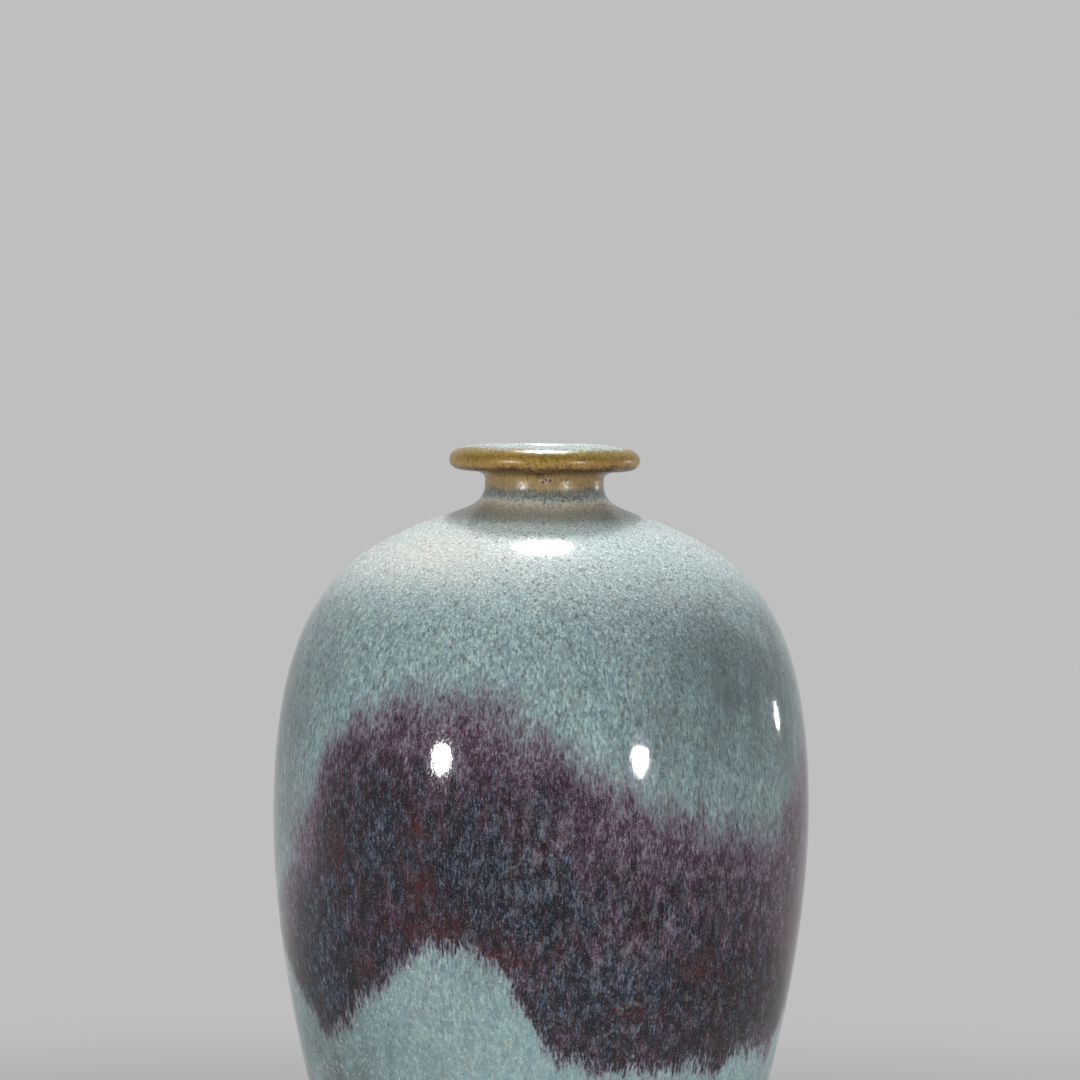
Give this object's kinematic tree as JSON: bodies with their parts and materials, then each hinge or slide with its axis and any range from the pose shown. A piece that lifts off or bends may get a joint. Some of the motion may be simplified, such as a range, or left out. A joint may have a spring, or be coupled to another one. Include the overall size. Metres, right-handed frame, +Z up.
{
  "type": "meiping vase",
  "caption": "Small-mouthed, broad-shouldered stoneware flower vase with an everted lip, a turned foot ring and a thick streaked blue glaze splashed with purple.",
  "frame": {"origin": "middle of the foot's resting face, on the vase's axis", "axes": "+Z up along the vase's axis, -Y towards the front that the picture shows"},
  "size_m": [0.1718, 0.1718, 0.2837],
  "materials": {
    "stoneware": "bare fired stoneware, matte, iron-brown, with turning marks on the foot",
    "slip": "fired luting slip, matte",
    "blue_glaze": "thick opalescent sky-blue glaze with fine running streaks, olive and thin on the lip, glossy",
    "inner_glaze": "thinner grey-blue glaze, glossy",
    "base_wash": "thin dark brown wash, satin",
    "copper_splash": "copper-bearing purple glaze melted into the blue, feathered edges, red flecks, glossy"
  },
  "bodies": {
    "root": {"lower_body": "stoneware", "upper_body": "stoneware", "neck_and_lip": "stoneware", "belly_seam_slip": "slip", "neck_seam_slip": "slip", "outer_glaze": "blue_glaze", "inner_glaze": "inner_glaze", "base_wash": "base_wash", "front_splash": "copper_splash", "back_splash": "copper_splash"}
  },
  "joints": []
}
